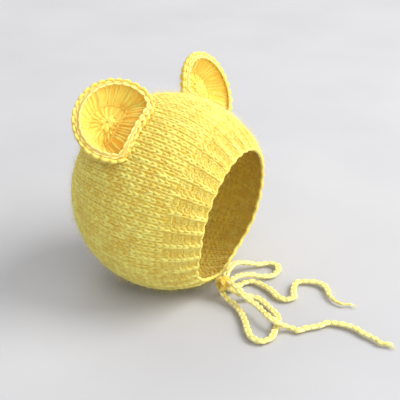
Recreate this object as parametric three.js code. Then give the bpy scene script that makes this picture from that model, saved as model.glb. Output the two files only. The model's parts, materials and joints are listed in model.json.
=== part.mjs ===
// A knitted newborn bonnet with two crocheted ears and a tied bow, lying on its flattened underside.
// Sizes are millimetres. The face opening looks towards -Y, the crown is up, the surface is Z = 0.
import * as THREE from 'three';

// Bonnet
const BONNET_RADIUS = 57;
const KNIT_THICKNESS = 2;
const RESTING_DEPTH = 3;
const BONNET_CENTRE = new THREE.Vector3(0, 0, BONNET_RADIUS - RESTING_DEPTH);
const FACE_TURNED_DOWN = 7.7;
const CROWN_LEAN = 8;
const OPENING_HALF_ANGLE = 43;
const CORNER_PULL = 2;
const CORNER_PULL_WIDTH = 16;
const JAW_SETBACK = 4;
const JAW_FROM_CROWN = 145;
const JAW_WIDTH = 42;
const RIB_COUNT = 32;
const RIB_HEIGHT = 0.5;
const RIB_BAND_LENGTH = 22;
const SCALLOP_HEIGHT = 0.3;
const CLOSURE_DIMPLE = 1.2;
const BAND_ROWS = 4;
const CROWN_ROWS = 10;

// Ears
const EAR_HALF_WIDTH = 24;
const EAR_HALF_HEIGHT = 21.5;
const EAR_CENTRE_ABOVE_SEAM = 14.5;
const EAR_MIDDLE_SHIFT = 4.5;
const EAR_THICKNESS = 2.4;
const EAR_SEAM_GAP = 0.4;
const EAR_EDGE_ROUNDING = 0.7;
const EAR_SEATED_HEIGHT = 9;
const EAR_SIDES = 36;

// Knot and ties
const KNOT_BACK_FROM_FACE = 40.8;
const KNOT_FROM_CROWN = 189.6;
const KNOT_GAP = 0.2;
const KNOT_HALF_THICKNESS = 4.2;
const KNOT_HALF_WIDTH = 4.2;
const KNOT_HALF_HEIGHT = 4.6;
const TIE_DIAMETER = 3.3;
const TIE_SIDES = 8;
const TIE_STEP = 2.5 * TIE_DIAMETER;

const radians = THREE.MathUtils.degToRad;
const smooth = THREE.MathUtils.smoothstep;

// Where each ear is sewn: degrees back from the face axis, degrees round from the crown towards
// the wearer's left, lean towards the back, and turn of its seam about the outward direction
const EARS = {
  ear_right: { backFromFace: 97, aroundFromCrown: -41, leanBack: 60, seamTurn: 3, depth: 10.5 },
  ear_left: { backFromFace: 96, aroundFromCrown: 45, leanBack: 10, seamTurn: -24, depth: 10 },
};

// Cup section of an ear: share of the way out to the edge, share of the full depth
const EAR_SECTION = [
  { out: 0.22, depth: 0.9 },
  { out: 0.4, depth: 1.0 },
  { out: 0.55, depth: 0.96 },
  { out: 0.74, depth: 0.6 },
  { out: 0.9, depth: 0.2 },
  { out: 1.0, depth: 0.0 },
];

// Centre lines of the ties, measured from the middle of the bonnet's underside
const TIE_ROUTES = {
  tie_loop_left: [
    [-8.9, -41.6, 14], [-5.6, -41.2, 15], [1, -39.4, 13.6], [8, -38, 11.4], [14.6, -37.4, 8.9],
    [20.5, -38, 6.4], [25.5, -41, 4], [29.5, -45, 2.4], [33.6, -48.6, 2], [34.4, -53.6, 2], [28, -57.6, 2],
    [21, -57, 2], [16.5, -52.6, 2.6], [12, -47.8, 4.8], [5.6, -45, 7], [-1.6, -43.7, 8.6], [-8, -43, 8.9],
  ],
  tie_loop_right: [
    [-12.2, -45.3, 7.2], [-12.2, -49, 5.8], [-10.6, -53, 4], [-7.8, -56.6, 2.6], [-7.1, -61.1, 2],
    [-11.1, -67.8, 2], [-15.9, -74.4, 2], [-20.8, -79.4, 2], [-27.9, -82, 2], [-34.9, -83.5, 2],
    [-41.8, -84.2, 2], [-46.9, -80.6, 2], [-45.5, -74.6, 2], [-39, -69, 2], [-33.4, -65.2, 2],
    [-25, -58.2, 2],
    [-18.8, -50.6, 2.2], [-17.2, -46.4, 2.8], [-15.2, -42.2, 4.5],
  ],
  tie_tail_left: [
    [-9.6, -41.7, 5.6], [-6.6, -42.6, 3.2], [-1, -44.4, 2.1], [5, -45.6, 2], [9.3, -50.2, 2],
    [7.8, -57.2, 2], [4.6, -64, 2], [0.2, -69.8, 2], [-0.6, -75.2, 2], [3.6, -78.2, 2], [9, -76, 2],
    [15.4, -73.6, 2], [21, -73.6, 2], [24.2, -78, 2], [25.8, -84.4, 2], [23, -90.4, 2],
    [15.9, -95.3, 2], [11.2, -100.8, 2], [10, -105.6, 2], [12.1, -109.6, 2],
  ],
  tie_tail_right: [
    [-13, -45.8, 11.6], [-14.4, -49.4, 11.2], [-16.4, -54, 9.4], [-18.6, -59.8, 7.4], [-21.3, -66.7, 6.4],
    [-26.9, -74.5, 6.2], [-30.6, -81.7, 5.8], [-29.6, -86.6, 4.2], [-27.4, -89.9, 2.4],
    [-27.6, -94, 2], [-22.9, -97.7, 2], [-17.9, -102.7, 2], [-12.7, -106, 2], [-10.9, -111.7, 2],
    [-10.5, -116.9, 2], [-11.3, -121.8, 2], [-14.1, -127.4, 2], [-15.6, -133.1, 2],
    [-18.3, -138.6, 2], [-17.4, -142.2, 2],
  ],
};

// The bonnet's own directions, worked out from how it lies
const faceDip = radians(FACE_TURNED_DOWN);
const face = new THREE.Vector3(0, -Math.cos(faceDip), -Math.sin(faceDip));
const upright = new THREE.Vector3(0, -Math.sin(faceDip), Math.cos(faceDip));
const sideways = new THREE.Vector3(1, 0, 0);
const crown = upright.clone().applyAxisAngle(face, radians(-CROWN_LEAN));
const wearersLeft = sideways.clone().applyAxisAngle(face, radians(-CROWN_LEAN));

// Outward direction at an angle back from the face axis and round from the crown to the wearer's left
function outward(backFromFace, aroundFromCrown) {
  const around = radians(aroundFromCrown);
  const spoke = crown.clone().multiplyScalar(Math.cos(around));
  spoke.addScaledVector(wearersLeft, Math.sin(around));
  const back = radians(backFromFace);
  return face.clone().multiplyScalar(Math.cos(back)).addScaledVector(spoke, Math.sin(back));
}

// Closed solid from a start point, rings with equal numbers of points, and an end point
function solidFromRings(start, rings, end) {
  const count = rings[0].length;
  const points = [start, ...rings.flat(), end];
  const triangles = [];
  for (let side = 0; side < count; side += 1) {
    const next = (side + 1) % count;
    triangles.push(0, 1 + next, 1 + side);
    for (let ring = 0; ring < rings.length - 1; ring += 1) {
      const here = 1 + ring * count;
      const there = here + count;
      triangles.push(here + side, here + next, there + next);
      triangles.push(here + side, there + next, there + side);
    }
    const last = 1 + (rings.length - 1) * count;
    triangles.push(points.length - 1, last + side, last + next);
  }
  const geometry = new THREE.BufferGeometry();
  geometry.setAttribute('position', new THREE.Float32BufferAttribute(points.flatMap((p) => p.toArray()), 3));
  geometry.setIndex(triangles);
  geometry.computeVertexNormals();
  return geometry;
}

function knotNearness(aroundFromCrown) {
  const fromChin = Math.abs(THREE.MathUtils.euclideanModulo(aroundFromCrown, 360) - KNOT_FROM_CROWN);
  return 1 - smooth(fromChin, 0, CORNER_PULL_WIDTH);
}

function edgeAngle(aroundFromCrown) {
  const scallop = SCALLOP_HEIGHT * Math.cos(radians(RIB_COUNT * aroundFromCrown));
  const pull = CORNER_PULL * knotNearness(aroundFromCrown);
  const fromCrown = Math.abs(THREE.MathUtils.euclideanModulo(aroundFromCrown + 180, 360) - 180);
  const setback = JAW_SETBACK * (1 - smooth(Math.abs(fromCrown - JAW_FROM_CROWN), 0, JAW_WIDTH));
  return OPENING_HALF_ANGLE - THREE.MathUtils.radToDeg(scallop / BONNET_RADIUS) - pull + setback;
}

// A point of the knitting, the given depth below its outer side
function knitPoint(backFromFace, aroundFromCrown, depth) {
  const fromEdge = radians(backFromFace - edgeAngle(aroundFromCrown)) * BONNET_RADIUS;
  const alongBand = smooth(fromEdge, RIB_BAND_LENGTH * 0.4, RIB_BAND_LENGTH);
  const ribFade = (1 - alongBand) * (1 - knotNearness(aroundFromCrown));
  const rib = RIB_HEIGHT * ribFade * Math.cos(radians(RIB_COUNT * aroundFromCrown));
  const dimple = CLOSURE_DIMPLE * smooth(backFromFace, 165, 180);
  const radius = BONNET_RADIUS - depth + rib - dimple;
  const point = outward(backFromFace, aroundFromCrown).multiplyScalar(radius).add(BONNET_CENTRE);
  point.z = Math.max(point.z, depth);
  return point;
}

function bonnetGeometry() {
  const sides = RIB_COUNT * 3;
  const bandAngle = THREE.MathUtils.radToDeg(RIB_BAND_LENGTH / BONNET_RADIUS);
  const knitRing = (row, depth) => Array.from({ length: sides }, (_, side) => {
    const around = (-side * 360) / sides;
    const edge = edgeAngle(around);
    const bandTop = edge + bandAngle;
    const back = row <= BAND_ROWS
      ? edge + (bandAngle * row) / BAND_ROWS
      : bandTop + ((180 - bandTop) * (row - BAND_ROWS)) / CROWN_ROWS;
    return knitPoint(back, around, depth);
  });
  const rings = [];
  for (let row = BAND_ROWS + CROWN_ROWS - 1; row >= 0; row -= 1) rings.push(knitRing(row, 0));
  rings.push(knitRing(-0.12, KNIT_THICKNESS / 2));
  for (let row = 0; row < BAND_ROWS + CROWN_ROWS; row += 1) rings.push(knitRing(row, KNIT_THICKNESS));
  return solidFromRings(knitPoint(180, 0, 0), rings, knitPoint(180, 0, KNIT_THICKNESS));
}

// An ear is a crocheted round cupped towards the front, with the straight side of its edge on the knitting
function earGeometry({ backFromFace, aroundFromCrown, leanBack, seamTurn, depth }) {
  const out = outward(backFromFace, aroundFromCrown);
  const towardsBack = outward(backFromFace + 90, aroundFromCrown).applyAxisAngle(out, radians(seamTurn));
  const along = new THREE.Vector3().crossVectors(towardsBack, out);
  const lean = radians(leanBack);
  const height = out.clone().multiplyScalar(Math.cos(lean)).addScaledVector(towardsBack, Math.sin(lean));
  const front = out.clone().multiplyScalar(Math.sin(lean)).addScaledVector(towardsBack, -Math.cos(lean));
  const seamRadius = BONNET_RADIUS + EAR_SEAM_GAP;
  const seam = BONNET_CENTRE.clone().addScaledVector(out, seamRadius);

  // Distance from the ear's centre to its edge, shorter towards the straight sewn side
  const reach = (turn) => {
    const towardsSeam = Math.max(-Math.sin(turn), 0.001);
    const straight = EAR_CENTRE_ABOVE_SEAM / towardsSeam;
    const round = 1 / Math.hypot(Math.cos(turn) / EAR_HALF_WIDTH, Math.sin(turn) / EAR_HALF_HEIGHT);
    return (round ** -8 + straight ** -8) ** (-1 / 8);
  };
  // Moves a point of the lower part in or out so that the edge follows the bonnet
  const seated = (point, heightAboveSeam, clearance) => {
    const fromCentre = point.clone().sub(BONNET_CENTRE);
    const wanted = seamRadius + clearance;
    const share = 1 - smooth(heightAboveSeam, 0, EAR_SEATED_HEIGHT);
    const radius = Math.max(fromCentre.length() - share * (fromCentre.length() - wanted), wanted);
    return fromCentre.setLength(radius).add(BONNET_CENTRE);
  };
  const earPoint = (section, slope, turn, back, outBy) => {
    const radius = reach(turn) * section.out;
    const spoke = along.clone().multiplyScalar(Math.cos(turn)).addScaledVector(height, Math.sin(turn));
    const normal = front.clone().addScaledVector(spoke, -slope).normalize();
    const middle = EAR_CENTRE_ABOVE_SEAM + EAR_MIDDLE_SHIFT * (1 - section.out);
    const point = seam.clone().addScaledVector(height, middle);
    point.addScaledVector(spoke, radius + outBy).addScaledVector(front, -depth * section.depth);
    point.addScaledVector(normal, -EAR_THICKNESS * back);
    return seated(point, middle + radius * Math.sin(turn), EAR_THICKNESS * (1 - back));
  };
  const ring = (index, back, outBy) => Array.from({ length: EAR_SIDES }, (_, side) => {
    const section = EAR_SECTION[index];
    const before = EAR_SECTION[Math.max(index - 1, 0)];
    const after = EAR_SECTION[Math.min(index + 1, EAR_SECTION.length - 1)];
    const slope = (depth * (before.depth - after.depth)) / (EAR_HALF_HEIGHT * (after.out - before.out));
    return earPoint(section, slope, (side * 2 * Math.PI) / EAR_SIDES, back, outBy);
  });
  const floor = { out: 0, depth: EAR_SECTION[0].depth };
  const edge = EAR_SECTION.length - 1;
  const rings = [];
  for (let index = 0; index <= edge; index += 1) rings.push(ring(index, 1, 0));
  rings.push(ring(edge, 0.5, EAR_EDGE_ROUNDING));
  for (let index = edge; index >= 0; index -= 1) rings.push(ring(index, 0, 0));
  return solidFromRings(earPoint(floor, 0, 0, 1, 0), rings, earPoint(floor, 0, 0, 0, 0));
}

// The knot lies against the lower edge of the face opening
function knotGeometry() {
  const out = outward(KNOT_BACK_FROM_FACE, KNOT_FROM_CROWN);
  const distance = BONNET_RADIUS + KNOT_GAP + KNOT_HALF_THICKNESS;
  const centre = BONNET_CENTRE.clone().addScaledVector(out, distance);
  const across = new THREE.Vector3().crossVectors(new THREE.Vector3(0, 0, 1), out).normalize();
  const up = new THREE.Vector3().crossVectors(out, across);
  const sides = 12;
  const knotPoint = (fromTop, turn) => {
    const wrap = 1 + 0.07 * Math.cos(3 * turn + 2 * fromTop);
    const point = centre.clone().addScaledVector(up, KNOT_HALF_HEIGHT * Math.cos(fromTop));
    point.addScaledVector(across, KNOT_HALF_WIDTH * wrap * Math.sin(fromTop) * Math.cos(turn));
    return point.addScaledVector(out, KNOT_HALF_THICKNESS * Math.sin(fromTop) * Math.sin(turn));
  };
  const rings = [30, 60, 90, 120, 150].map((fromTop) => Array.from({ length: sides }, (_, side) => (
    knotPoint(radians(fromTop), (side * 2 * Math.PI) / sides))));
  return solidFromRings(knotPoint(0, 0), rings, knotPoint(Math.PI, 0));
}

function tieGeometry(route) {
  const points = route.map((point) => new THREE.Vector3(...point));
  const path = new THREE.CatmullRomCurve3(points, false, 'centripetal');
  const section = new THREE.Shape(Array.from({ length: TIE_SIDES }, (_, side) => {
    const turn = ((side + 0.5) * 2 * Math.PI) / TIE_SIDES;
    return new THREE.Vector2(Math.cos(turn), Math.sin(turn)).multiplyScalar(TIE_DIAMETER / 2);
  }));
  const steps = Math.round(path.getLength() / TIE_STEP);
  return new THREE.ExtrudeGeometry(section, { steps, bevelEnabled: false, extrudePath: path });
}

const bonnetYarn = new THREE.MeshStandardMaterial({ color: 0xf0de5f, roughness: 0.95, metalness: 0 });
const earYarn = new THREE.MeshStandardMaterial({ color: 0xf5cf41, roughness: 0.95, metalness: 0 });
const tieYarn = new THREE.MeshStandardMaterial({ color: 0xf2e070, roughness: 0.95, metalness: 0 });

const hat = new THREE.Group();
function addPiece(name, geometry, material) {
  const piece = new THREE.Mesh(geometry, material);
  piece.name = name;
  hat.add(piece);
}
addPiece('bonnet', bonnetGeometry(), bonnetYarn);
for (const [name, seat] of Object.entries(EARS)) addPiece(name, earGeometry(seat), earYarn);
addPiece('bow_knot', knotGeometry(), tieYarn);
for (const [name, route] of Object.entries(TIE_ROUTES)) addPiece(name, tieGeometry(route), tieYarn);

// The origin is under the middle of the bonnet and its ears
const extent = new THREE.Box3();
for (const name of ['bonnet', ...Object.keys(EARS)]) extent.expandByObject(hat.getObjectByName(name));
const middle = extent.getCenter(new THREE.Vector3());
for (const piece of hat.children) piece.geometry.translate(-middle.x, -middle.y, 0);

export default hat;
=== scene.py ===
"""A newborn's knitted bonnet with two crocheted ears and crocheted ties, standing open on a pale table."""
import json
import math

import bpy
import numpy as np
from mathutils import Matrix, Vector

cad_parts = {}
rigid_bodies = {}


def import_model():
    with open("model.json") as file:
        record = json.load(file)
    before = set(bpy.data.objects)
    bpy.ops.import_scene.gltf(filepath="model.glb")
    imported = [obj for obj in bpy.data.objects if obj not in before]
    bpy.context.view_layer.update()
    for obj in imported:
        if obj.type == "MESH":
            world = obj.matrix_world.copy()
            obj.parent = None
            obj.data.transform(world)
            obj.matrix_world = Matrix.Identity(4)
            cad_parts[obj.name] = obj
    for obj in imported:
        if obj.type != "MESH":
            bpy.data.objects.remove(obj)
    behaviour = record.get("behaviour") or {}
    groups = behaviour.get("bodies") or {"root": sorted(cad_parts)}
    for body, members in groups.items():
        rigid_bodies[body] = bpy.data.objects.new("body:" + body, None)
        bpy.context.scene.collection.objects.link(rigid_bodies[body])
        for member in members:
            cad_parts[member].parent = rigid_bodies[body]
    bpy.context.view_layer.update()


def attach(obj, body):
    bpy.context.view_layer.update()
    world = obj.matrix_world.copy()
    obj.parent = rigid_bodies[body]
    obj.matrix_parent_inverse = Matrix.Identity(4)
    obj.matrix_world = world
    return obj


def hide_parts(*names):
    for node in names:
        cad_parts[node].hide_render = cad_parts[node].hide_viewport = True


for leftover in list(bpy.data.objects):
    bpy.data.objects.remove(leftover)
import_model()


# Table, light and camera
# A pale matt table top under soft studio light: a large key high in front on the wearer's left,
# wide fills beside the camera and low in front, and a bright room. The camera looks down at the
# open front from the wearer's right.
MM = 0.001
BONNET_MIDDLE = np.array((-12.2125, -4.638, 54.0))
CAMERA_PLACE = (-501.27, -281.34, 316.02)
CAMERA_AIM = (-5.68, -20.78, 49.15)
CAMERA_LENS = 96.0


def colour(red, green, blue):
    """The light values of a colour given as it is seen, 0 to 255."""
    seen = [value / 255 for value in (red, green, blue)]
    return tuple(s / 12.92 if s <= 0.04045 else ((s + 0.055) / 1.055) ** 2.4 for s in seen) + (1.0,)


def aim(thing, place, target):
    thing.location = Vector(place) * MM
    thing.rotation_euler = (Vector(target) - Vector(place)).to_track_quat("-Z", "Y").to_euler()
    bpy.context.collection.objects.link(thing)


camera = bpy.data.objects.new("camera", bpy.data.cameras.new("camera"))
camera.data.lens = CAMERA_LENS
camera.data.sensor_width = 36.0
camera.data.clip_start, camera.data.clip_end = 0.02, 20.0
aim(camera, CAMERA_PLACE, CAMERA_AIM)
bpy.context.scene.camera = camera

for name, place, side, power, tint in (
        ("key", (740, -1300, 1520), 1.5, 45.0, (1.0, 0.985, 0.955)),
        ("fill", (-900, -700, 1000), 1.5, 5.5, (1.0, 1.0, 1.0)),
        ("low fill", (-60, -1200, 240), 1.3, 8.0, (1.0, 1.0, 1.0)),
        ("back", (700, 700, 900), 0.9, 4.5, (1.0, 0.99, 0.97))):
    lamp = bpy.data.lights.new(name, "AREA")
    lamp.shape, lamp.size, lamp.energy, lamp.color = "DISK", side, power, tint
    aim(bpy.data.objects.new(name, lamp), place, BONNET_MIDDLE)

room = bpy.data.worlds.new("room")
room.use_nodes = True
room.node_tree.nodes["Background"].inputs["Color"].default_value = (0.96, 0.97, 1.0, 1.0)
room.node_tree.nodes["Background"].inputs["Strength"].default_value = 0.6
bpy.context.scene.world = room
bpy.context.scene.view_settings.view_transform = "Standard"


def new_material(name):
    """A fresh material, with its node list, its links and its main shader."""
    made = bpy.data.materials.new(name)
    made.use_nodes = True
    nodes, links = made.node_tree.nodes, made.node_tree.links
    return made, nodes, links, nodes["Principled BSDF"]


def noise_of(nodes, links, scale, detail, source=None):
    """Noise over the piece's own coordinates, or over another set of coordinates."""
    grain = nodes.new("ShaderNodeTexNoise")
    grain.inputs["Scale"].default_value = scale
    grain.inputs["Detail"].default_value = detail
    if source is None:
        source = nodes.new("ShaderNodeTexCoord").outputs["Object"]
    links.new(source, grain.inputs["Vector"])
    return grain.outputs["Fac"]


def blend_of(nodes, links, share, first, second):
    """One colour turning into another; each is a colour or a socket that gives one."""
    mix = nodes.new("ShaderNodeMix")
    mix.data_type = "RGBA"
    for socket, value in ((mix.inputs[0], share), (mix.inputs[6], first), (mix.inputs[7], second)):
        if isinstance(value, bpy.types.NodeSocket):
            links.new(value, socket)
        else:
            socket.default_value = value
    return mix.outputs[2]


def levels(nodes, links, value, low, high):
    """A value stretched so that low becomes 0 and high becomes 1."""
    step = nodes.new("ShaderNodeMapRange")
    links.new(value, step.inputs["Value"])
    step.inputs["From Min"].default_value = low
    step.inputs["From Max"].default_value = high
    return step.outputs["Result"]


def bump_of(nodes, links, shader, height, distance, strength=1.0):
    bump = nodes.new("ShaderNodeBump")
    bump.inputs["Distance"].default_value = distance
    bump.inputs["Strength"].default_value = strength
    links.new(height, bump.inputs["Height"])
    links.new(bump.outputs["Normal"], shader.inputs["Normal"])


TABLE_REACH = 4.0
TABLE_LOOKS = (colour(181, 181, 184), colour(187, 187, 189))
table_top, nodes, links, shader = new_material("table_top")
clouds = levels(nodes, links, noise_of(nodes, links, 9.0, 4.0), 0.3, 0.7)
links.new(blend_of(nodes, links, clouds, *TABLE_LOOKS), shader.inputs["Base Color"])
shader.inputs["Roughness"].default_value = 0.75
shader.inputs["Specular IOR Level"].default_value = 0.25
bump_of(nodes, links, shader, noise_of(nodes, links, 900.0, 3.0), 0.00008, 0.4)

floor_mesh = bpy.data.meshes.new("table")
corners = [(x * TABLE_REACH, y * TABLE_REACH, 0) for x, y in ((-1, -1), (1, -1), (1, 1), (-1, 1))]
floor_mesh.from_pydata(corners, [], [(0, 1, 2, 3)])
table = bpy.data.objects.new("table", floor_mesh)
bpy.context.collection.objects.link(table)
table.data.materials.append(table_top)


# Ties
# Four free ends of two crocheted chains in the bonnet's own brushed yarn: two bow loops that go back
# into the knot, and two tails. Each chain is a row of teardrop links drawn over a soft core.
LINK_PITCH = 4.3
LINK_LENGTH = 6.6
LINK_WIDTH = 4.0
TIE_YARN = 0.95
TIE_CORE_RADIUS = 1.3
TIE_STEP = 0.8
TIE_TAPER_LENGTH = 26.0

TIE_ROUTES = {
    "tie_loop_left": (
        (-0.02111, -0.04624, 0.0140), (-0.01781, -0.04584, 0.0150), (-0.01121, -0.04404, 0.0136),
        (-0.00421, -0.04264, 0.0114), (0.00239, -0.04204, 0.0089), (0.00829, -0.04264, 0.0064),
        (0.01329, -0.04564, 0.0040), (0.01729, -0.04964, 0.0024), (0.02139, -0.05324, 0.0020),
        (0.02219, -0.05824, 0.0020), (0.01579, -0.06224, 0.0020), (0.00879, -0.06164, 0.0020),
        (0.00429, -0.05724, 0.0026), (-0.00021, -0.05244, 0.0048), (-0.00661, -0.04964, 0.0070),
        (-0.01381, -0.04834, 0.0086), (-0.02021, -0.04764, 0.0089)),
    "tie_loop_right": (
        (-0.02441, -0.04994, 0.0072), (-0.02441, -0.05364, 0.0058), (-0.02281, -0.05764, 0.0040),
        (-0.02001, -0.06124, 0.0026), (-0.01931, -0.06574, 0.0020), (-0.02331, -0.07244, 0.0020),
        (-0.02811, -0.07904, 0.0020), (-0.03301, -0.08404, 0.0020), (-0.04011, -0.08664, 0.0020),
        (-0.04711, -0.08814, 0.0020), (-0.05401, -0.08884, 0.0020), (-0.05911, -0.08524, 0.0020),
        (-0.05771, -0.07924, 0.0020), (-0.05121, -0.07364, 0.0020), (-0.04561, -0.06984, 0.0020),
        (-0.03721, -0.06284, 0.0020), (-0.03101, -0.05524, 0.0022), (-0.02941, -0.05104, 0.0028),
        (-0.02741, -0.04684, 0.0045)),
    "tie_tail_left": (
        (-0.02181, -0.04634, 0.0056), (-0.01881, -0.04724, 0.0032), (-0.01321, -0.04904, 0.0021),
        (-0.00721, -0.05024, 0.0020), (-0.00291, -0.05484, 0.0020), (-0.00441, -0.06184, 0.0020),
        (-0.00761, -0.06864, 0.0020), (-0.01201, -0.07444, 0.0020), (-0.01281, -0.07984, 0.0020),
        (-0.00861, -0.08284, 0.0020), (-0.00321, -0.08064, 0.0020), (0.00319, -0.07824, 0.0020),
        (0.00879, -0.07824, 0.0020), (0.01199, -0.08264, 0.0020), (0.01359, -0.08904, 0.0020),
        (0.01079, -0.09504, 0.0020), (0.00369, -0.09994, 0.0020), (-0.00101, -0.10544, 0.0020),
        (-0.00221, -0.11024, 0.0020), (-0.00011, -0.11424, 0.0020)),
    "tie_tail_right": (
        (-0.02521, -0.05044, 0.0116), (-0.02661, -0.05404, 0.0112), (-0.02861, -0.05864, 0.0094),
        (-0.03081, -0.06444, 0.0074), (-0.03351, -0.07134, 0.0064), (-0.03911, -0.07914, 0.0062),
        (-0.04281, -0.08634, 0.0058), (-0.04181, -0.09124, 0.0042), (-0.03961, -0.09454, 0.0024),
        (-0.03981, -0.09864, 0.0020), (-0.03511, -0.10234, 0.0020), (-0.03011, -0.10734, 0.0020),
        (-0.02491, -0.11064, 0.0020), (-0.02311, -0.11634, 0.0020), (-0.02271, -0.12154, 0.0020),
        (-0.02351, -0.12644, 0.0020), (-0.02631, -0.13204, 0.0020), (-0.02781, -0.13774, 0.0020),
        (-0.03051, -0.14324, 0.0020), (-0.02961, -0.14684, 0.0020)),
}
TIE_FAR_ENDS = {"tie_loop_left": "object", "tie_loop_right": "object",
                "tie_tail_left": "bare", "tie_tail_right": "bare"}
FRAY_LENGTH, FRAY_REACH, FRAY_DROP, FRAY_YARN = 5.5, 2.2, 1.2, 0.3
FRAY_SPREADS = (-1.0, -0.45, 0.1, 0.55, 1.0)
LEAST_HEIGHT = 0.4
TIE_END_SHARE = {"tie_tail_left": 0.45, "tie_tail_right": 0.8}


def yarn_look():
    """Fluffy yarn as a node group: pale on its crests, with painted shade in its hollows, mottled, with
    fine fibres along the strand. A strand's own shade value says how high each spot of it lies, which sets
    its painted shade, with some random tone on top."""
    look = bpy.data.node_groups.new("brushed yarn", "ShaderNodeTree")
    for title in ("Crest", "Hollow", "Fibre"):
        look.interface.new_socket(title, in_out="INPUT", socket_type="NodeSocketColor")
    look.interface.new_socket("Color", in_out="OUTPUT", socket_type="NodeSocketColor")
    look.interface.new_socket("Height", in_out="OUTPUT", socket_type="NodeSocketFloat")
    nodes, links = look.nodes, look.links
    given, result = nodes.new("NodeGroupInput"), nodes.new("NodeGroupOutput")
    marks = {}
    for mark in ("tone", "along", "around"):
        marks[mark] = nodes.new("ShaderNodeAttribute")
        marks[mark].attribute_name = mark
    strand = nodes.new("ShaderNodeCombineXYZ")
    links.new(marks["along"].outputs["Fac"], strand.inputs["X"])
    links.new(marks["around"].outputs["Fac"], strand.inputs["Y"])
    stretch = nodes.new("ShaderNodeVectorMath")
    stretch.operation = "MULTIPLY"
    stretch.inputs[1].default_value = (0.9, 7.0, 1.0)
    links.new(strand.outputs["Vector"], stretch.inputs[0])
    fibres = noise_of(nodes, links, 2.2, 5.0, stretch.outputs["Vector"])
    patches = levels(nodes, links, noise_of(nodes, links, 120.0, 4.0), 0.38, 0.7)
    tufts = noise_of(nodes, links, 1500.0, 4.0)
    # Painted shade: low spots of the yarn take the darker hollow colour, high spots the crest colour.
    body = blend_of(nodes, links, marks["tone"].outputs["Fac"], given.outputs["Hollow"],
                    given.outputs["Crest"])
    deeper = blend_of(nodes, links, 0.42, body, given.outputs["Hollow"])
    body = blend_of(nodes, links, patches, deeper, body)
    paler = blend_of(nodes, links, 0.6, body, given.outputs["Fibre"])
    body = blend_of(nodes, links, levels(nodes, links, fibres, 0.5, 0.72), body, paler)
    body = blend_of(nodes, links, levels(nodes, links, tufts, 0.55, 0.75), body, paler)
    links.new(body, result.inputs["Color"])
    both = nodes.new("ShaderNodeMath")
    both.operation = "ADD"
    links.new(fibres, both.inputs[0])
    links.new(tufts, both.inputs[1])
    links.new(both.outputs["Value"], result.inputs["Height"])
    return look


def yarn_material(name, crest, shaded_hollow, fibre, bump_depth=0.00016):
    """One yarn of the brushed kind: its crest and fibre colours and a darker hollow colour painted as
    shade, softly lit through its fluff.
    """
    made, nodes, links, shader = new_material(name)
    look = nodes.new("ShaderNodeGroup")
    look.node_tree = brushed
    for title, value in (("Crest", crest), ("Hollow", shaded_hollow), ("Fibre", fibre)):
        look.inputs[title].default_value = value
    links.new(look.outputs["Color"], shader.inputs["Base Color"])
    shader.inputs["Roughness"].default_value = 0.95
    shader.inputs["Specular IOR Level"].default_value = 0.1
    shader.inputs["Sheen Weight"].default_value = 0.4
    shader.inputs["Sheen Roughness"].default_value = 0.6
    shader.inputs["Sheen Tint"].default_value = fibre
    shader.inputs["Subsurface Weight"].default_value = 0.3
    shader.inputs["Subsurface Radius"].default_value = (1.0, 0.8, 0.35)
    shader.inputs["Subsurface Scale"].default_value = 0.002
    bump_of(nodes, links, shader, look.outputs["Height"], bump_depth)
    return made


def smooth_route(points, step):
    """The centripetal curve through the points, as points about one step apart."""
    p = np.array(points, float)
    p = np.vstack((2 * p[0] - p[1], p, 2 * p[-1] - p[-2]))
    fine = []
    for a, b, c, d in zip(p, p[1:], p[2:], p[3:]):
        ab, bc, cd = (math.sqrt(np.linalg.norm(v)) for v in (b - a, c - b, d - c))
        out = ((b - a) / ab - (c - a) / (ab + bc) + (c - b) / bc) * bc
        into = ((c - b) / bc - (d - b) / (bc + cd) + (d - c) / cd) * bc
        for t in np.linspace(0, 1, 24, endpoint=False):
            fine.append((2 * t**3 - 3 * t**2 + 1) * b + (t**3 - 2 * t**2 + t) * out
                        + (3 * t**2 - 2 * t**3) * c + (t**3 - t**2) * into)
    fine.append(p[-2])
    fine = np.array(fine)
    run = np.concatenate(([0], np.cumsum(np.linalg.norm(np.diff(fine, axis=0), axis=1))))
    marks = np.linspace(0, run[-1], max(2, int(round(run[-1] / step)) + 1))
    return np.stack([np.interp(marks, run, fine[:, k]) for k in range(3)], axis=1), run[-1]


def line_piece(name, lines, closed=False):
    """Several lines of points as one piece. Each line is (points, {attribute: value or values})."""
    points, edges, marks = [], [], {}
    for line, extra in lines:
        first, count = sum(len(x) for x in points), len(line)
        points.append(np.asarray(line, float))
        edges += [(first + i, first + (i + 1) % count) for i in range(count if closed else count - 1)]
        step = np.linalg.norm(np.diff(points[-1], axis=0), axis=1)
        extra = {"tone": 1.0, "thick": 1.0, "up": (0.0, 0.0, 1.0), **extra,
                 "along": np.concatenate(([0], np.cumsum(step))) / MM}
        for key, value in extra.items():
            wide = np.broadcast_to(np.asarray(value, float), (count, 3) if key == "up" else (count,))
            marks.setdefault(key, []).append(wide)
    mesh = bpy.data.meshes.new(name)
    mesh.from_pydata(np.vstack(points), edges, [])
    for key, values in marks.items():
        flat = np.concatenate(values).ravel()
        kind = "FLOAT_VECTOR" if key == "up" else "FLOAT"
        layer = mesh.attributes.new(key, kind, "POINT")
        layer.data.foreach_set("vector" if key == "up" else "value", flat)
    piece = bpy.data.objects.new(name, mesh)
    bpy.context.collection.objects.link(piece)
    return piece


def new_tree(name, inputs):
    """A geometry tree with a Geometry input and output and the named inputs."""
    tree = bpy.data.node_groups.new(name, "GeometryNodeTree")
    tree.interface.new_socket("Geometry", in_out="INPUT", socket_type="NodeSocketGeometry")
    tree.interface.new_socket("Geometry", in_out="OUTPUT", socket_type="NodeSocketGeometry")
    for title, kind, start in inputs:
        socket = tree.interface.new_socket(title, in_out="INPUT", socket_type="NodeSocket" + kind)
        if start is not None:
            socket.default_value = start
    return tree, tree.nodes.new("NodeGroupInput"), tree.nodes.new("NodeGroupOutput")


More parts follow.
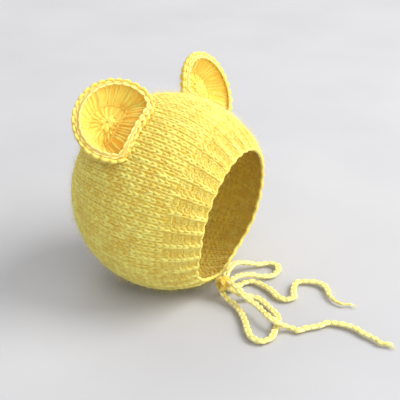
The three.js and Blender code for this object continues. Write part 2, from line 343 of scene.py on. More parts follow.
def add_node(tree, kind, settings=(), **wires):
    """A node with its settings, and its inputs wired or set by name."""
    node = tree.nodes.new(kind)
    for key, value in dict(settings).items():
        setattr(node, key, value)
    for key, value in wires.items():
        socket = next(s for s in node.inputs if s.name == key.replace("_", " ") and s.enabled)
        if isinstance(value, bpy.types.NodeSocket):
            tree.links.new(value, socket)
        else:
            socket.default_value = value
    return node


def field(tree, name, kind="FLOAT"):
    node = add_node(tree, "GeometryNodeInputNamedAttribute", {"data_type": kind}, Name=name)
    return node.outputs["Attribute"]


def make_real(piece, tree, **inputs):
    """Runs the tree on the piece and keeps the result as its plain mesh."""
    step = piece.modifiers.new("made", "NODES")
    step.node_group = tree
    for item in tree.interface.items_tree:
        if item.item_type == "SOCKET" and item.in_out == "INPUT" and item.name in inputs:
            step[item.identifier] = inputs[item.name]
    graph = bpy.context.evaluated_depsgraph_get()
    mesh = bpy.data.meshes.new_from_object(piece.evaluated_get(graph), preserve_all_data_layers=True,
                                           depsgraph=graph)
    piece.modifiers.clear()
    old, piece.data = piece.data, mesh
    bpy.data.meshes.remove(old)
    mesh.name = piece.name
    return piece


def strand_tree():
    """Lines become round strands of yarn: thick along them, shaded by tone."""
    tree, given, result = new_tree("strands", (("Yarn radius", "Float", 0.0006), ("Sides", "Int", 5),
                                               ("Material", "Material", None)))
    ring = add_node(tree, "GeometryNodeCurvePrimitiveCircle", {"mode": "RADIUS"},
                    Resolution=given.outputs["Sides"], Radius=given.outputs["Yarn radius"])
    round_ = add_node(tree, "GeometryNodeSplineParameter")
    ring = add_node(tree, "GeometryNodeStoreNamedAttribute", {"data_type": "FLOAT", "domain": "POINT"},
                    Geometry=ring.outputs["Curve"], Name="around", Value=round_.outputs["Factor"])
    line = add_node(tree, "GeometryNodeMeshToCurve", Mesh=given.outputs["Geometry"])
    tube = add_node(tree, "GeometryNodeCurveToMesh", Curve=line.outputs["Curve"],
                    Profile_Curve=ring.outputs["Geometry"], Scale=field(tree, "thick"), Fill_Caps=True)
    soft = add_node(tree, "GeometryNodeSetShadeSmooth", Geometry=tube.outputs["Mesh"])
    real = add_node(tree, "GeometryNodeRealizeInstances", Geometry=soft.outputs["Geometry"])
    done = add_node(tree, "GeometryNodeSetMaterial", Geometry=real.outputs["Geometry"],
                    Material=given.outputs["Material"])
    tree.links.new(done.outputs["Geometry"], result.inputs["Geometry"])
    return tree


def chain_tree():
    """Lines become crocheted chains: one link every pitch, over a soft core painted in the hollow colour
    as the shade between the links.
    """
    tree, given, result = new_tree("chains", (
        ("Pitch", "Float", 0.004), ("Link", "Object", None), ("Core radius", "Float", 0.001),
        ("Seed", "Int", 5), ("Material", "Material", None)))
    line = add_node(tree, "GeometryNodeMeshToCurve", Mesh=given.outputs["Geometry"])
    turned = add_node(tree, "GeometryNodeSetCurveNormal", {"mode": "FREE"}, Curve=line.outputs["Curve"],
                      Normal=field(tree, "up", "FLOAT_VECTOR"))
    spots = add_node(tree, "GeometryNodeCurveToPoints", {"mode": "LENGTH"},
                     Curve=turned.outputs["Curve"], Length=given.outputs["Pitch"])
    link = add_node(tree, "GeometryNodeObjectInfo", Object=given.outputs["Link"])
    uneven = add_node(tree, "FunctionNodeRandomValue", {"data_type": "FLOAT"}, Min=0.88, Max=1.1,
                      Seed=given.outputs["Seed"])
    size = add_node(tree, "ShaderNodeMath", {"operation": "MULTIPLY"})
    tree.links.new(uneven.outputs["Value"], size.inputs[0])
    tree.links.new(field(tree, "thick"), size.inputs[1])
    set_out = add_node(tree, "GeometryNodeInstanceOnPoints", Points=spots.outputs["Points"],
                       Instance=link.outputs["Geometry"], Rotation=spots.outputs["Rotation"])
    tree.links.new(size.outputs["Value"], set_out.inputs["Scale"])
    ring = add_node(tree, "GeometryNodeCurvePrimitiveCircle", {"mode": "RADIUS"}, Resolution=8,
                    Radius=given.outputs["Core radius"])
    core = add_node(tree, "GeometryNodeCurveToMesh", Curve=line.outputs["Curve"],
                    Profile_Curve=ring.outputs["Curve"], Scale=field(tree, "thick"), Fill_Caps=True)
    # Painted shade: the core takes the full hollow colour, as the shade between and under the links.
    shaded = add_node(tree, "GeometryNodeStoreNamedAttribute", {"data_type": "FLOAT", "domain": "POINT"},
                      Geometry=core.outputs["Mesh"], Name="tone", Value=0.0)
    both = tree.nodes.new("GeometryNodeJoinGeometry")
    tree.links.new(shaded.outputs["Geometry"], both.inputs[0])
    tree.links.new(set_out.outputs["Instances"], both.inputs[0])
    real = add_node(tree, "GeometryNodeRealizeInstances", Geometry=both.outputs["Geometry"])
    soft = add_node(tree, "GeometryNodeSetShadeSmooth", Geometry=real.outputs["Geometry"])
    done = add_node(tree, "GeometryNodeSetMaterial", Geometry=soft.outputs["Geometry"],
                    Material=given.outputs["Material"])
    tree.links.new(done.outputs["Geometry"], result.inputs["Geometry"])
    return tree


def chain_link(name, length, width, yarn_radius, sides):
    """One teardrop link of a crocheted chain: it leans along Z and its face looks along X."""
    t = np.linspace(0, 2 * np.pi, 14, endpoint=False)
    side = (width / 2 - yarn_radius) * np.sin(t) * (1 + 0.25 * np.cos(t))
    lift = yarn_radius * (0.55 - 0.75 * np.cos(t) ** 2 + 0.12 * np.cos(t))
    loop = np.stack((lift, side, -(length / 2 - yarn_radius) * np.cos(t)), axis=1) * MM
    # Painted shade: the link is darker towards its two ends, where it tucks under its neighbours.
    height = 0.4 + 0.6 * (1 - np.cos(t) ** 2)
    piece = line_piece(name, [(loop, {"tone": height})], closed=True)
    make_real(piece, strands, **{"Yarn radius": yarn_radius * MM, "Sides": sides})
    return piece


brushed, strands, chains = yarn_look(), strand_tree(), chain_tree()
# The crest, painted hollow shade and fibre colours of the tie yarn.
TIE_LOOKS = (colour(254, 248, 168), colour(236, 210, 84), colour(255, 253, 216))
tie_yarn = yarn_material("tie_yarn", *TIE_LOOKS)
tie_link = chain_link("tie_link", LINK_LENGTH, LINK_WIDTH, TIE_YARN, 5)

tie_lines, tie_pieces = {}, {}
for name, points in TIE_ROUTES.items():
    line, length = smooth_route(points, TIE_STEP * MM)
    tie_lines[name] = line
    left = np.linspace(length, 0, len(line)) / MM
    share = TIE_END_SHARE.get(name, 1.0)
    thick = share + (1 - share) * np.clip(left / TIE_TAPER_LENGTH, 0, 1)
    tie = line_piece(name + "_chain", [(line, {"thick": thick})])
    make_real(tie, chains, **{"Pitch": LINK_PITCH * MM, "Link": tie_link, "Seed": 11,
                              "Core radius": TIE_CORE_RADIUS * MM, "Material": tie_yarn})
    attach(tie, "root")
    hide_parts(name)
    frays = []
    if TIE_FAR_ENDS[name] == "bare":
        run = line[-1] - line[-8]
        run /= np.linalg.norm(run)
        side = np.cross(run, (0, 0, 1.0))
        bits = []
        for spread in FRAY_SPREADS:
            s = np.linspace(0, 1, 7)
            ahead = s * FRAY_LENGTH * (1.15 - 0.35 * abs(spread))
            aside = (spread * s ** 1.4 + 0.2 * np.sin(s * 5 + 4 * spread)) * FRAY_REACH
            bit = line[-3] + (np.outer(ahead, run) + np.outer(aside, side)) * MM
            bit[:, 2] = np.maximum(bit[:, 2] - s * FRAY_DROP * MM, LEAST_HEIGHT * MM)
            bits.append((bit, {"thick": 1 - 0.75 * s}))
        fray = line_piece(name + "_fray", bits)
        make_real(fray, strands, **{"Yarn radius": FRAY_YARN * MM, "Sides": 4, "Material": tie_yarn})
        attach(fray, "root")
        frays.append(fray)
    tie_pieces[name] = (tie, length, frays)


# Bow knot
# The crossing of the two ties: three turns of the same crocheted chain pulled tight on themselves,
# over the soft lump they squeeze together.
KNOT_MIDDLE = np.array((-24.3725, -45.588, 9.85))
KNOT_OUT = np.array((-0.198, -0.667, -0.719))
KNOT_ACROSS = np.array((0.959, -0.284, 0.0))
KNOT_UP = np.cross(KNOT_OUT, KNOT_ACROSS)
KNOT_REACH, KNOT_HALF_WIDTH, KNOT_BULGE_WIDTH, KNOT_CORE_RADIUS = 2.75, 2.5, 4.6, 1.6
KNOT_TURNS, KNOT_POINTS, KNOT_TIGHTNESS = 3, 90, 0.92

turn = np.linspace(0.0, KNOT_TURNS * 2 * np.pi, KNOT_POINTS)
across = (turn / turn[-1] - 0.5) * 2 * KNOT_HALF_WIDTH
bulge = KNOT_REACH * np.sqrt(np.clip(1 - (across / KNOT_BULGE_WIDTH) ** 2, 0.2, 1))
outward_here = np.outer(np.cos(turn), KNOT_OUT) + np.outer(np.sin(turn), KNOT_UP)
wrap = KNOT_MIDDLE + outward_here * bulge[:, None] + np.outer(across, KNOT_ACROSS)
# Painted shade: the knot is the ties' own yarn painted darker all over as shade, and its hollow colour is
# painted shade as well.
SHADED_KNOT_LOOKS = (colour(248, 224, 106), colour(230, 180, 50), colour(253, 241, 162))
knot_yarn = yarn_material("knot_yarn", *SHADED_KNOT_LOOKS)
knot = line_piece("bow_wraps", [(wrap * MM, {"up": outward_here})])
make_real(knot, chains, **{"Pitch": LINK_PITCH * KNOT_TIGHTNESS * MM, "Link": tie_link, "Seed": 4,
                           "Core radius": KNOT_CORE_RADIUS * MM, "Material": knot_yarn})
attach(knot, "root")
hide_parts("bow_knot")
for name, (tie, length, others) in tie_pieces.items():
    line = tie_lines[name]


# Bonnet core
# The hollow round bonnet, knitted from the rib band at the face to the back of the head. This is
# the matted middle of its fluffy yarn, which closes the gaps between the stitches.
BONNET_RADIUS = 57.0
FACE_TURNED_DOWN = math.radians(7.7)
CROWN_LEAN = math.radians(-8.0)
OPENING_HALF_ANGLE = 43.0
CORNER_PULL, CORNER_PULL_WIDTH, KNOT_FROM_CROWN = 2.0, 16.0, 189.6
JAW_SETBACK, JAW_FROM_CROWN, JAW_WIDTH = 4.0, 145.0, 42.0
RIB_COUNT, RIB_HEIGHT, RIB_BAND_LENGTH = 32, 0.5, 22.0
LAST_SHARE_BACK = 179.2
SCALLOP_HEIGHT, CLOSURE_DIMPLE = 0.3, 1.2

TO_FACE = np.array((0, -math.cos(FACE_TURNED_DOWN), -math.sin(FACE_TURNED_DOWN)))
UPRIGHT = np.array((0, -math.sin(FACE_TURNED_DOWN), math.cos(FACE_TURNED_DOWN)))
SIDEWAYS = np.array((1.0, 0.0, 0.0))
TO_CROWN = UPRIGHT * math.cos(CROWN_LEAN) + np.cross(TO_FACE, UPRIGHT) * math.sin(CROWN_LEAN)
TO_LEFT = SIDEWAYS * math.cos(CROWN_LEAN) + np.cross(TO_FACE, SIDEWAYS) * math.sin(CROWN_LEAN)


def smooth(value, low, high):
    share = np.clip((value - low) / (high - low), 0, 1)
    return share * share * (3 - 2 * share)


def outward(back, around):
    """The direction so many degrees back from the face and round from the crown."""
    b, a = np.radians(back)[..., None], np.radians(around)[..., None]
    return TO_FACE * np.cos(b) + (TO_CROWN * np.cos(a) + TO_LEFT * np.sin(a)) * np.sin(b)


def knot_nearness(around):
    return 1 - smooth(np.abs(np.mod(around, 360) - KNOT_FROM_CROWN), 0, CORNER_PULL_WIDTH)


def edge_angle(around):
    scallop = SCALLOP_HEIGHT * np.cos(RIB_COUNT * np.radians(around))
    from_crown = np.abs(np.mod(around + 180, 360) - 180)
    setback = JAW_SETBACK * (1 - smooth(np.abs(from_crown - JAW_FROM_CROWN), 0, JAW_WIDTH))
    return (OPENING_HALF_ANGLE - np.degrees(scallop / BONNET_RADIUS)
            - CORNER_PULL * knot_nearness(around) + setback)


def knit_point(back, around, depth):
    """A point of the knit, so far in from its outer face, in millimetres."""
    back, around = np.broadcast_arrays(np.asarray(back, float), np.asarray(around, float))
    from_edge = np.radians(back - edge_angle(around)) * BONNET_RADIUS
    fade = (1 - smooth(from_edge, 0.4 * RIB_BAND_LENGTH, RIB_BAND_LENGTH)) * (1 - knot_nearness(around))
    fade = fade * (0.3 + 0.7 * smooth(from_edge, 0, 5))
    rib = RIB_HEIGHT * fade * np.cos(RIB_COUNT * np.radians(around))
    radius = BONNET_RADIUS - depth + rib - CLOSURE_DIMPLE * smooth(back, 165, 180)
    point = outward(back, around) * radius[..., None] + BONNET_MIDDLE
    point[..., 2] = np.maximum(point[..., 2], depth)
    return point


def skin(name, rings, closed_ends=(False, False), ring_shades=None):
    """A surface through rings of points, with a shade for each ring. A closed end gathers its last
    ring to one point."""
    rings = [np.asarray(r, float) for r in rings]
    count = len(rings[0])
    ring_shades = [0.2] * len(rings) if ring_shades is None else ring_shades
    points = np.vstack(rings)
    faces = []
    for r in range(len(rings) - 1):
        for i in range(count):
            j = (i + 1) % count
            faces.append(((r + 1) * count + i, (r + 1) * count + j, r * count + j, r * count + i))
    for end, ring in ((0, rings[0]), (1, rings[-1])):
        if closed_ends[end]:
            points = np.vstack((points, ring.mean(axis=0)))
            base = (len(rings) - 1) * count if end else 0
            middle = len(points) - 1
            for i in range(count):
                a, b = base + i, base + (i + 1) % count
                faces.append((b, a, middle) if end else (a, b, middle))
    mesh = bpy.data.meshes.new(name)
    mesh.from_pydata((points * MM), [], faces)
    mesh.shade_smooth()
    shade = mesh.attributes.new("tone", "FLOAT", "POINT")
    values = np.concatenate([np.broadcast_to(t, count) for t in ring_shades])
    shade.data.foreach_set("value", np.resize(values, len(points)))
    piece = bpy.data.objects.new(name, mesh)
    bpy.context.collection.objects.link(piece)
    return piece


def ring_at(back_share, depth, count):
    """A ring of knit points at a share of the way from the rim to the back."""
    around = np.linspace(0, 360, count, endpoint=False)
    edge = edge_angle(around)
    back = edge + back_share * (LAST_SHARE_BACK - edge)
    return knit_point(back, around, depth)


CORE_SIDES, CORE_OUTER_DEPTH, CORE_INNER_DEPTH = 192, 0.75, 1.35
core_shares = np.concatenate((np.linspace(0.006, 0.16, 12), np.linspace(0.19, 1.0, 34)))
outer_rings = [ring_at(s, CORE_OUTER_DEPTH, CORE_SIDES) for s in core_shares[::-1]]
inner_rings = [ring_at(s, CORE_INNER_DEPTH, CORE_SIDES) for s in core_shares]
# The crest, painted hollow shade and fibre colours of the bonnet.
BONNET_LOOKS = (colour(254, 246, 126), colour(225, 180, 30), colour(255, 251, 186))
bonnet_yarn = yarn_material("bonnet_yarn", *BONNET_LOOKS)
# Painted shade and light: the outer face takes the dark hollow colour as the shade in the gaps between the
# stitches; the inside is lightened as painted light.
core = skin("bonnet_core", outer_rings + inner_rings, (True, True),
            [0.15] * len(outer_rings) + [0.65] * len(inner_rings))
core.data.materials.append(bonnet_yarn)
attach(core, "root")


# Bonnet stitches
# Every row of the knit is one strand of yarn laid in interlocking loops. The band at the face is
# knit one, purl two, under a rolled cast-on edge; the rest is stocking stitch, with fewer loops in
# each row towards the gathered back.
WALES = 96
WALE_STEPS = (96, 72, 48, 36, 24, 12)
LEAST_WALE = 2.35
ROW_HEIGHT = 3.55
LOOP_POINTS = 12
BONNET_YARN = 0.71
LOOP_SWELL = 0.235
LOOP_REACH = 1.06
LOOP_DEPTH = 0.42
WALE_RIDGE = 0.42
BAND_ROWS = 6
LOOP_MIDDLE_DEPTH = 0.98
UNEVEN_SWELL, UNEVEN_REACH, UNEVEN_TONE, UNEVEN_SIDE = 0.13, 0.07, 0.24, 0.07

ROW_COUNT = int(round(math.radians(180 - OPENING_HALF_ANGLE) * BONNET_RADIUS / ROW_HEIGHT))
chance = np.random.default_rng(2079)


def knit_row(row):
    """One row of loops as a closed line, with its painted shading, random tone and thickness."""
    share = (row + 0.75) / ROW_COUNT
    middle = OPENING_HALF_ANGLE + share * (180 - OPENING_HALF_ANGLE)
    girth = 2 * math.pi * BONNET_RADIUS * math.sin(math.radians(min(middle, 178)))
    wales = next(count for count in WALE_STEPS if girth / count >= LEAST_WALE or count == WALE_STEPS[-1])
    t = np.tile(np.linspace(0, 2 * np.pi, LOOP_POINTS, endpoint=False), wales)
    wale = np.repeat(np.arange(wales), LOOP_POINTS)
    pull = chance.normal(0, 1, (wales, 4))[wale]
    pull = pull * (UNEVEN_SWELL, UNEVEN_REACH, UNEVEN_TONE, UNEVEN_SIDE)
    swell = LOOP_SWELL * np.sin(2 * t) * (1 + pull[:, 0])
    across = wale + (t - np.pi) / (2 * np.pi) + swell + pull[:, 3] * np.sin(t / 2)
    around = across * 360 / wales
    slot_of_rib = np.mod(wale, WALES // RIB_COUNT)
    purl = (row < BAND_ROWS) & (slot_of_rib != 0) & (wales == WALES)
    face = np.where(purl, -1.0, 1.0)
    edge = edge_angle(around)
    reach = LOOP_REACH * ROW_HEIGHT * (-np.cos(t)) * (0.78 + pull[:, 1])
    back = edge + share * (180 - edge) + np.degrees(reach / BONNET_RADIUS) * (180 - edge) / 137
    wander = (0.32 * np.sin(np.radians(around * 5) + row * 0.5)
              + 0.22 * np.sin(np.radians(around * 13) - row * 0.8))
    back = back + np.degrees(wander / BONNET_RADIUS) * smooth(np.full(len(t), float(row)), 1, 5)
    relief = np.where(purl, 0.45, 1.0)
    lift = -np.cos(2 * t) * LOOP_DEPTH * face * relief
    crest = 0.5 - 0.5 * np.cos(2 * t) * face * relief
    ridge = np.cos(2 * np.pi * (across - wale)) * np.where(purl, 0.0, 1.0)
    lift = lift + WALE_RIDGE * ridge
    rib_line = 0.5 + 0.5 * np.cos(RIB_COUNT * np.radians(around))
    in_band = 1 - smooth(np.full(len(t), float(row)), BAND_ROWS - 1.5, BAND_ROWS + 1.0)
    # Painted shade and highlight: loop tops and the middle of each column of stitches paler, the grooves
    # between columns darker, plus random tone for each stitch. In the band the purl hollows between the
    # ribs get more painted shade.
    tone = 0.12 + 0.62 * crest + 0.42 * ridge + pull[:, 2]
    tone = tone * (1 - in_band * 0.4 * (1 - rib_line))
    back = np.clip(back, edge + 0.35, 179.3)
    points = knit_point(back, around, LOOP_MIDDLE_DEPTH - lift)
    return points * MM, {"tone": np.clip(tone, 0, 1), "thick": 1 + pull[:, 0]}


GROUPS = (("bonnet_band", 0, 8), ("bonnet_crown", 8, 17), ("bonnet_middle", 17, 26),
          ("bonnet_back", 26, ROW_COUNT))
for name, first, last in GROUPS:
    rows = line_piece(name, [knit_row(row) for row in range(first, last)], closed=True)
    make_real(rows, strands, **{"Yarn radius": BONNET_YARN * MM, "Sides": 5, "Material": bonnet_yarn})
    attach(rows, "root")
    if first == 0:
        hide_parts("bonnet")

RIM_POINTS, RIM_TWISTS, RIM_SWING, RIM_YARN = 640, 120, 0.42, 0.66
RIM_BACK, RIM_DEPTH = 0.55, 0.95
around = np.linspace(0, 360, RIM_POINTS, endpoint=False)
twist = np.radians(around) * RIM_TWISTS
rim_lines = []
for phase in (0.0, np.pi):
    sway = np.degrees(RIM_SWING * np.sin(twist + phase) / BONNET_RADIUS)
    depth = RIM_DEPTH + RIM_SWING * np.cos(twist + phase)
    line = knit_point(edge_angle(around) + RIM_BACK + sway, around, depth) * MM
    # Painted shade and highlight alternating with the twist of the two strands.
    rim_lines.append((line, {"tone": 0.75 + 0.25 * np.cos(twist + phase)}))
rim = line_piece("bonnet_rim", rim_lines, closed=True)
make_real(rim, strands, **{"Yarn radius": RIM_YARN * MM, "Sides": 6, "Material": bonnet_yarn})
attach(rim, "root")


# Ears
# Two cupped ears crocheted from the middle outwards in a deeper yellow: a ring of puffs, a round of
# short stitches, a round of long spokes and a bright chain at the edge. Each is sewn down by its
# straight side.
EAR_HALF_WIDTH, EAR_HALF_HEIGHT = 24.0, 21.5
EAR_CENTRE_ABOVE_SEAM, EAR_MIDDLE_SHIFT = 14.5, 4.5
EAR_THICKNESS, EAR_SEAM_GAP, EAR_SEATED_HEIGHT = 2.4, 0.4, 9.0
EAR_OUTS = (0.0, 0.22, 0.4, 0.55, 0.74, 0.9, 1.0)
EAR_DEEPS = (0.9, 0.9, 1.0, 0.96, 0.6, 0.2, 0.0)
EARS = {"ear_right": dict(back=97, around=-41, lean=60, turn=3, depth=10.5, seed=1),
        "ear_left": dict(back=96, around=45, lean=10, turn=-24, depth=10.0, seed=2)}


def turned_about(vector, axis, angle):
    return (vector * math.cos(angle) + np.cross(axis, vector) * math.sin(angle)
            + axis * np.dot(axis, vector) * (1 - math.cos(angle)))


class Ear:
    """Places points on one ear by turn, share of the way out, and share of its thickness."""

    def __init__(self, back, around, lean, turn, depth, seed):
        self.depth, self.seed = depth, seed
        self.out = outward(np.array(float(back)), np.array(float(around)))
        to_back = turned_about(outward(np.array(back + 90.0), np.array(float(around))), self.out,
                               math.radians(turn))
        self.along = np.cross(to_back, self.out)
        lean = math.radians(lean)
        self.up = self.out * math.cos(lean) + to_back * math.sin(lean)
        self.front = self.out * math.sin(lean) - to_back * math.cos(lean)
        self.seam_radius = BONNET_RADIUS + EAR_SEAM_GAP
        self.seam = BONNET_MIDDLE + self.out * self.seam_radius

    def reach(self, turn):
        straight = EAR_CENTRE_ABOVE_SEAM / np.maximum(-np.sin(turn), 0.001)
        round_ = 1 / np.hypot(np.cos(turn) / EAR_HALF_WIDTH, np.sin(turn) / EAR_HALF_HEIGHT)
        return (round_ ** -8 + straight ** -8) ** (-1 / 8)

    def point(self, turn, out, through=0.5):
        """Millimetres; through is 0 on the cupped front, 1 on the back and may go beyond both."""
        turn, out, through = np.broadcast_arrays(*(np.asarray(v, float) for v in (turn, out, through)))
        deep = np.interp(out, EAR_OUTS, EAR_DEEPS)
        for shift in (-0.06, 0.06):
            deep = deep + np.interp(np.clip(out + shift, 0, 1), EAR_OUTS, EAR_DEEPS)
        deep = deep / 3
        slope = self.depth / EAR_HALF_HEIGHT * (
            np.interp(np.clip(out - 0.05, 0, 1), EAR_OUTS, EAR_DEEPS)
            - np.interp(np.clip(out + 0.05, 0, 1), EAR_OUTS, EAR_DEEPS)) / 0.1
        spoke = np.multiply.outer(np.cos(turn), self.along) + np.multiply.outer(np.sin(turn), self.up)
        normal = self.front - spoke * slope[..., None]
        normal /= np.linalg.norm(normal, axis=-1, keepdims=True)
        radius = self.reach(turn) * out
        middle = EAR_CENTRE_ABOVE_SEAM + EAR_MIDDLE_SHIFT * (1 - out)
        place = (self.seam + np.multiply.outer(middle, self.up) + spoke * radius[..., None]
                 - np.multiply.outer(self.depth * deep, self.front)
                 - normal * (EAR_THICKNESS * through)[..., None])
        above = middle + radius * np.sin(turn)
        wanted = self.seam_radius + EAR_THICKNESS * (1 - through)
        from_middle = place - BONNET_MIDDLE
        length = np.linalg.norm(from_middle, axis=-1)
        share = 1 - smooth(above, 0, EAR_SEATED_HEIGHT)
        far = np.maximum(length - share * (length - wanted), wanted)
        return BONNET_MIDDLE + from_middle * (far / length)[..., None]


def painted_cup_shade(turn, out):
    """Painted shade on the cupped front: pale puffs in the middle, painted deep-gold shade on the wall
    towards the seam and in the valley on the seam side.
    """
    seamward = smooth(-np.sin(turn), -0.15, 0.75) * smooth(np.asarray(out, float), 0.42, 0.62)
    valley = np.exp(-((np.asarray(out, float) - 0.54) / 0.09) ** 2) * smooth(-np.sin(turn), -0.5, 0.5)
    return 0.92 - 0.8 * np.maximum(seamward, valley)


EAR_CORE_SIDES, EAR_CORE_FRONT, EAR_CORE_REAR = 72, 0.17, 0.76
EAR_CORE_OUTS = (0.02, 0.1, 0.22, 0.32, 0.4, 0.48, 0.55, 0.65, 0.74, 0.82, 0.9, 0.97)
EAR_YARN, EAR_ROUND_YARN, EAR_EDGE_POINTS = 0.78, 0.62, 160
SPOKE_ROUNDS = (
    dict(first=0.03, last=0.23, count=9, low=0.16, high=0.84, girth=1.7),
    dict(first=0.25, last=0.5, count=20, low=0.24, high=0.76, girth=1.15),
    dict(first=0.52, last=0.92, count=42, low=0.3, high=0.7, girth=1.05))
# The crest, painted hollow shade and fibre colours of the ear, its edge and its chain.
EAR_LOOKS = (colour(251, 236, 112), colour(239, 170, 26), colour(254, 244, 162))
EAR_EDGE_LOOKS = (colour(246, 226, 112), colour(230, 182, 50), colour(253, 243, 164))
ear_yarn = yarn_material("ear_yarn", *EAR_LOOKS)
ear_edge_yarn = yarn_material("ear_edge_yarn", *EAR_EDGE_LOOKS)
RIM_LOOKS = (colour(252, 242, 152), colour(232, 186, 58), colour(255, 250, 202))
rim_yarn = yarn_material("rim_yarn", *RIM_LOOKS)
ear_link = chain_link("ear_link", 6.0, 4.2, 0.95, 6)
rim_link = chain_link("rim_link", 6.0, 3.3, 0.56, 5)
ears = {}
for name, facts in EARS.items():
    ear = ears[name] = Ear(**facts)
    dice = np.random.default_rng(facts["seed"])
    turns = np.linspace(0, 2 * np.pi, EAR_CORE_SIDES, endpoint=False)
    front = [ear.point(turns, s, EAR_CORE_FRONT) for s in EAR_CORE_OUTS]
    rear = [ear.point(turns, s, EAR_CORE_REAR) for s in EAR_CORE_OUTS[::-1]]
    # Painted shade: the front of the ear's core takes the cup's painted shade, darkened a little more; the
    # back gets a plain middle value.
    cup = [painted_cup_shade(turns, s) * 0.85 for s in EAR_CORE_OUTS]
    body = skin(name + "_core", front + rear, (True, True), cup + [0.6] * len(rear))
    body.data.materials.append(ear_yarn)
    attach(body, "root")
    lines = []
    for spokes_of in SPOKE_ROUNDS:
        count = spokes_of["count"]
        for i in range(count):
            for through in (spokes_of["low"], spokes_of["high"]):
                in_front = through == spokes_of["low"]
                out = np.linspace(spokes_of["first"], spokes_of["last"], 9)
                lean = dice.normal(0, 0.035) + dice.normal(0, 0.05) * np.sin(np.linspace(0, 3.1, 9))
                turn = (i + (0 if in_front else 0.5)) * 2 * np.pi / count + lean
                swell = np.sin(np.linspace(0.25, np.pi - 0.25, 9))
                push = (0.5 - through) * -0.35 * swell
                line = ear.point(turn, out, through + push) * MM
                # Painted shade and light: front spokes follow the cup's painted shade, paler on the outer
                # wall as painted light on the raised strands and darker towards their ends, plus random
                # tone.
                spoke_painted_shade = painted_cup_shade(turn, out) + 0.42 * smooth(out, 0.6, 0.74) if in_front else 0.8
                shade = spoke_painted_shade * (0.72 + 0.28 * swell) + dice.normal(0, 0.12)
                thick = spokes_of["girth"] * (0.72 + 0.38 * swell) * dice.uniform(0.82, 1.12)
                lines.append((line, {"tone": np.clip(shade, 0, 1), "thick": thick}))
    spokes = line_piece(name + "_stitches", lines)
    make_real(spokes, strands, **{"Yarn radius": EAR_YARN * MM, "Sides": 7, "Material": ear_yarn})
    rounds = []
    for out, through in ((0.25, 0.14), (0.53, 0.2), (0.25, 0.86), (0.53, 0.8)):
        turn = np.linspace(0, 2 * np.pi, 120, endpoint=False)
        wave = 0.06 * np.sin(turn * (44 if out > 0.5 else 20))
        rounds.append((ear.point(turn, out, through + wave) * MM, {"tone": 0.6}))
    rings = line_piece(name + "_rounds", rounds, closed=True)
    make_real(rings, strands, **{"Yarn radius": EAR_ROUND_YARN * MM, "Sides": 6, "Material": ear_yarn})
    turn = np.linspace(0, 2 * np.pi, EAR_EDGE_POINTS, endpoint=False)
    chain_pieces = []
    for part, out, through, forward, pitch, link, girth, look in (
            ("_edge", 0.985, 0.65, -0.1, 5.0, ear_link, 1.2, ear_edge_yarn),
            ("_chain", 0.955, -0.35, 1.3, 4.9, rim_link, 0.6, rim_yarn)):
        line = ear.point(turn, out, through)
        outside = line - (ear.seam + ear.up * EAR_CENTRE_ABOVE_SEAM)
        outside /= np.linalg.norm(outside, axis=1)[:, None]
        up = outside * 0.75 + ear.front * forward
        chain_piece = line_piece(name + part, [(line * MM, {"up": up})], closed=True)
        make_real(chain_piece, chains, **{"Pitch": pitch * MM, "Link": link, "Core radius": girth * MM,
                                          "Seed": facts["seed"], "Material": look})
        chain_pieces.append(chain_piece)
    for piece in (spokes, rings, *chain_pieces):
        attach(piece, "root")
    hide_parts(name)

for pattern in (tie_link, ear_link, rim_link):
    bpy.data.objects.remove(pattern)


# Nap
# The haze of loose hairs that brushing has pulled out of the yarn, all over the bonnet, the ears,
# the ties and their knot. Each hair is rooted in the yarn, bends a little and lies over to one side.


def nap_tree():
    """Scatters loose hairs over a surface, leaning every way."""
    tree, given, result = new_tree("nap", (
        ("Hairs per square metre", "Float", 1000.0), ("Hairs", "Collection", None),
        ("Least size", "Float", 0.6), ("Most size", "Float", 1.2), ("Seed", "Int", 1),
        ("Material", "Material", None)))
    spots = add_node(tree, "GeometryNodeDistributePointsOnFaces", Mesh=given.outputs["Geometry"],
                     Density=given.outputs["Hairs per square metre"], Seed=given.outputs["Seed"])
    lean = add_node(tree, "FunctionNodeRandomValue", {"data_type": "FLOAT_VECTOR"},
                    Min=(-1.3, -1.3, 0.0), Max=(1.3, 1.3, 6.283), Seed=given.outputs["Seed"])
    lean = add_node(tree, "FunctionNodeEulerToRotation", Euler=lean.outputs["Value"])
    turned = add_node(tree, "FunctionNodeRotateRotation", {"rotation_space": "LOCAL"},
                      Rotation=spots.outputs["Rotation"], Rotate_By=lean.outputs["Rotation"])
    size = add_node(tree, "FunctionNodeRandomValue", {"data_type": "FLOAT"},
                    Min=given.outputs["Least size"], Max=given.outputs["Most size"],
                    Seed=given.outputs["Seed"])
    hairs = add_node(tree, "GeometryNodeCollectionInfo", Collection=given.outputs["Hairs"],
                     Separate_Children=True, Reset_Children=True)
    which = add_node(tree, "FunctionNodeRandomValue", {"data_type": "INT"}, Min=0, Max=5, Seed=3)
    put = add_node(tree, "GeometryNodeInstanceOnPoints", Points=spots.outputs["Points"],
                   Instance=hairs.outputs["Instances"], Pick_Instance=True,
                   Instance_Index=which.outputs["Value"], Rotation=turned.outputs["Rotation"])
    tree.links.new(size.outputs["Value"], put.inputs["Scale"])
    real = add_node(tree, "GeometryNodeRealizeInstances", Geometry=put.outputs["Instances"])
    done = add_node(tree, "GeometryNodeSetMaterial", Geometry=real.outputs["Geometry"],
                    Material=given.outputs["Material"])
    tree.links.new(done.outputs["Geometry"], result.inputs["Geometry"])
    return tree


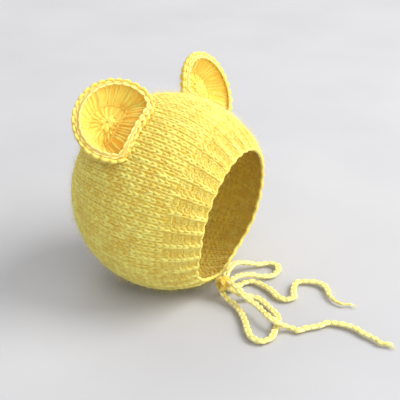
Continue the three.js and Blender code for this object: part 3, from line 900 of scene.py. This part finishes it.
HAIR_LENGTH = 4.6
HAIR_THICKNESS = 0.045
PRESSED_FLAT = 0.0004
hair_kinds = bpy.data.collections.new("hair_kinds")
chance = np.random.default_rng(41)
for kind in range(6):
    t = np.linspace(0, 1, 4)
    bend = chance.normal(0, 1, (2, 2))
    line = np.stack((np.sin(t * 3.4 + bend[0, 0]) * 1.1 - math.sin(bend[0, 0]) * 1.1,
                     np.sin(t * 3.0 + bend[1, 0]) * 1.0 - math.sin(bend[1, 0]) * 1.0,
                     t * HAIR_LENGTH), axis=1) * MM
    hair = line_piece("hair_%d" % kind, [(line, {"tone": 1.0, "thick": (1.0, 0.95, 0.75, 0.3)})])
    make_real(hair, strands, **{"Yarn radius": HAIR_THICKNESS * MM, "Sides": 3})
    bpy.context.collection.objects.unlink(hair)
    hair_kinds.objects.link(hair)

nap_maker = nap_tree()


def tie_skin():
    """The round surface of the ties and their knot, for the hairs to stand on."""
    points, faces = [], []
    for line in (*tie_lines.values(), wrap * MM):
        run = np.gradient(line, axis=0)
        run /= np.linalg.norm(run, axis=1)[:, None]
        side = np.cross(run, (0, 0, 1.0))
        side /= np.linalg.norm(side, axis=1)[:, None]
        rise = np.cross(side, run)
        base = len(points)
        for centre, s, r in zip(line[::4], side[::4], rise[::4]):
            for turn in np.linspace(-0.6, math.pi + 0.6, 6):
                points.append(centre + (s * math.cos(turn) + r * math.sin(turn)) * 1.45 * MM)
        rings = (len(points) - base) // 6
        for i in range(rings - 1):
            for k in range(5):
                a = base + i * 6 + k
                faces.append((a, a + 6, a + 7, a + 1))
    mesh = bpy.data.meshes.new("tie_skin")
    mesh.from_pydata(points, [], faces)
    piece = bpy.data.objects.new("tie_hairs", mesh)
    bpy.context.collection.objects.link(piece)
    return piece


shares = np.linspace(0.0, 1.0, 30)
front_skin = skin("front_hairs", [ring_at(s, 0.4, 96) for s in shares[14::-1]])
back_skin = skin("back_hairs", [ring_at(s, 0.4, 96) for s in shares[:13:-1]])
inner_skin = skin("lining_hairs", [ring_at(s, 1.7, 96) for s in shares])
beds = [(front_skin, 440000, bonnet_yarn, "bonnet_yarn", 0.35, 1.1, 5),
        (back_skin, 340000, bonnet_yarn, "bonnet_yarn", 0.35, 1.15, 8),
        (inner_skin, 50000, bonnet_yarn, "bonnet_yarn", 0.5, 1.0, 6),
        (tie_skin(), 480000, tie_yarn, "tie_yarn", 0.3, 0.7, 7)]
turns = np.linspace(0, 2 * np.pi, 48, endpoint=False)
for name, ear in ears.items():
    shell = [ear.point(turns, s, 0.1) for s in (0.1, 0.3, 0.5, 0.7, 0.9, 1.0)]
    shell += [ear.point(turns, s, 0.9) for s in (1.0, 0.9, 0.7, 0.5, 0.3, 0.1)]
    beds.append((skin(name + "_hairs", shell), 330000, ear_edge_yarn, "ear_yarn", 0.4, 0.95, ear.seed))
for bed, density, material, finish, least, most, seed in beds:
    make_real(bed, nap_maker, **{"Hairs per square metre": float(density), "Hairs": hair_kinds,
                                 "Least size": least, "Most size": most, "Seed": seed,
                                 "Material": material})
    ends = np.empty(len(bed.data.vertices) * 3)
    bed.data.vertices.foreach_get("co", ends)
    heights = ends[2::3]
    low = heights < PRESSED_FLAT
    heights[low] = PRESSED_FLAT * np.exp((heights[low] - PRESSED_FLAT) / HAIR_LENGTH / MM)
    bed.data.vertices.foreach_set("co", ends)
    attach(bed, "root")
for hair in list(hair_kinds.objects):
    bpy.data.objects.remove(hair)
